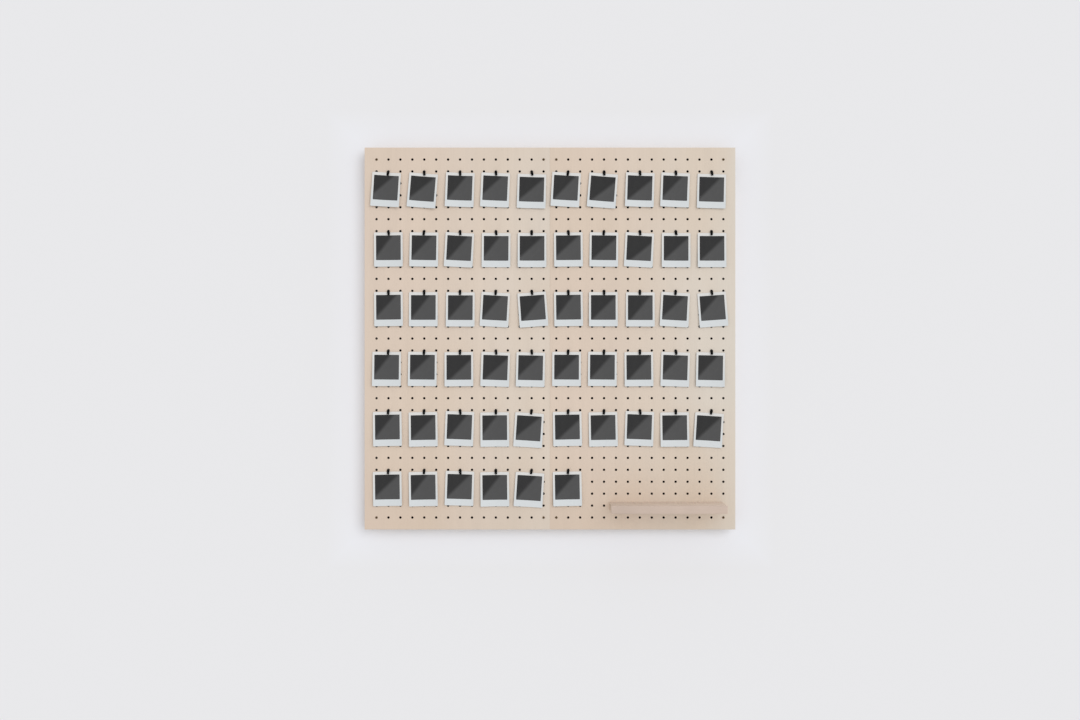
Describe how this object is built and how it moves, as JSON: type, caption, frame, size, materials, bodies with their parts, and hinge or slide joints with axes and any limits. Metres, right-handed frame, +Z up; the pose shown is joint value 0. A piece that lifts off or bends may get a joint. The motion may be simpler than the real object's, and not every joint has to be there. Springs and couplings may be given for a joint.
{
  "type": "wooden photo pegboard",
  "caption": "Wall-hung square plywood pegboard with a grid of holes, L-shaped pegs that pinch instant-photo cards, and a small plug-in shelf, on a wall cleat.",
  "frame": {"origin": "centre of the wall cleat's back face, on the wall", "axes": "+X to the right seen from the room, +Y into the wall, +Z up"},
  "size_m": [0.932, 0.1163, 0.96],
  "materials": {
    "plywood": "matt clear lacquer",
    "batten_wood": "planed, bare",
    "shelf_wood": "matt clear lacquer",
    "card_white": "satin",
    "picture_dark": "gloss",
    "peg_black": "matt",
    "screw_brass": "dull",
    "pin_steel": "turned"
  },
  "bodies": {
    "wall_cleat": {"wall_cleat": "batten_wood"},
    "board": {"hanging_batten": "batten_wood", "spacer_batten": "batten_wood", "panel_left": "plywood", "panel_right": "plywood", "panel_screw_top_1": "screw_brass", "panel_screw_top_2": "screw_brass", "panel_screw_top_3": "screw_brass", "panel_screw_top_4": "screw_brass", "panel_screw_bottom_1": "screw_brass", "panel_screw_bottom_2": "screw_brass", "panel_screw_bottom_3": "screw_brass", "panel_screw_bottom_4": "screw_brass", "photo_cards_row_1": "card_white", "pictures_row_1": "picture_dark", "pegs_row_1": "peg_black", "photo_cards_row_2": "card_white", "pictures_row_2": "picture_dark", "pegs_row_2": "peg_black", "photo_cards_row_3": "card_white", "pictures_row_3": "picture_dark", "pegs_row_3": "peg_black", "photo_cards_row_4": "card_white", "pictures_row_4": "picture_dark", "pegs_row_4": "peg_black", "photo_cards_row_5": "card_white", "pictures_row_5": "picture_dark", "pegs_row_5": "peg_black"},
    "shelf": {"shelf_plank": "shelf_wood", "shelf_pin_left": "pin_steel", "shelf_pin_right": "pin_steel"},
    "peg_6_1": {"peg_6_1": "peg_black"},
    "photo_6_1": {"photo_card_6_1": "card_white", "picture_6_1": "picture_dark"},
    "peg_6_2": {"peg_6_2": "peg_black"},
    "photo_6_2": {"photo_card_6_2": "card_white", "picture_6_2": "picture_dark"},
    "peg_6_3": {"peg_6_3": "peg_black"},
    "photo_6_3": {"photo_card_6_3": "card_white", "picture_6_3": "picture_dark"},
    "peg_6_4": {"peg_6_4": "peg_black"},
    "photo_6_4": {"photo_card_6_4": "card_white", "picture_6_4": "picture_dark"},
    "peg_6_5": {"peg_6_5": "peg_black"},
    "photo_6_5": {"photo_card_6_5": "card_white", "picture_6_5": "picture_dark"},
    "peg_6_6": {"peg_6_6": "peg_black"},
    "photo_6_6": {"photo_card_6_6": "card_white", "picture_6_6": "picture_dark"}
  },
  "joints": [
    {"name": "board_lift", "type": "slide", "parent": "wall_cleat", "child": "board", "axis": [0, 0, 1], "range_m": [0, 0.03]},
    {"name": "shelf_pull", "type": "slide", "parent": "board", "child": "shelf", "axis": [0, -1, 0], "range_m": [0, 0.04]},
    {"name": "peg_6_1_pull", "type": "slide", "parent": "board", "child": "peg_6_1", "axis": [0, -1, 0], "range_m": [0, 0.03]},
    {"name": "photo_6_1_swing", "type": "hinge", "parent": "peg_6_1", "child": "photo_6_1", "pos_m": [-0.40656, -0.0369, -0.72467], "axis": [0, 1, 0], "range_deg": [-3.5, 5.5]},
    {"name": "peg_6_2_pull", "type": "slide", "parent": "board", "child": "peg_6_2", "axis": [0, -1, 0], "range_m": [0, 0.03]},
    {"name": "photo_6_2_swing", "type": "hinge", "parent": "peg_6_2", "child": "photo_6_2", "pos_m": [-0.31632, -0.0369, -0.72469], "axis": [0, 1, 0], "range_deg": [-3.4, 5.6]},
    {"name": "peg_6_3_pull", "type": "slide", "parent": "board", "child": "peg_6_3", "axis": [0, -1, 0], "range_m": [0, 0.03]},
    {"name": "photo_6_3_swing", "type": "hinge", "parent": "peg_6_3", "child": "photo_6_3", "pos_m": [-0.22485, -0.0369, -0.72461], "axis": [0, 1, 0], "range_deg": [-6.2, 2.8]},
    {"name": "peg_6_4_pull", "type": "slide", "parent": "board", "child": "peg_6_4", "axis": [0, -1, 0], "range_m": [0, 0.03]},
    {"name": "photo_6_4_swing", "type": "hinge", "parent": "peg_6_4", "child": "photo_6_4", "pos_m": [-0.13571, -0.0369, -0.7247], "axis": [0, 1, 0], "range_deg": [-3.8, 5.2]},
    {"name": "peg_6_5_pull", "type": "slide", "parent": "board", "child": "peg_6_5", "axis": [0, -1, 0], "range_m": [0, 0.03]},
    {"name": "photo_6_5_swing", "type": "hinge", "parent": "peg_6_5", "child": "photo_6_5", "pos_m": [-0.04705, -0.0369, -0.72461], "axis": [0, 1, 0], "range_deg": [-8.1, 0.9]},
    {"name": "peg_6_6_pull", "type": "slide", "parent": "board", "child": "peg_6_6", "axis": [0, -1, 0], "range_m": [0, 0.03]},
    {"name": "photo_6_6_swing", "type": "hinge", "parent": "peg_6_6", "child": "photo_6_6", "pos_m": [0.04534, -0.0369, -0.72467], "axis": [0, 1, 0], "range_deg": [-3.5, 5.5]}
  ]
}
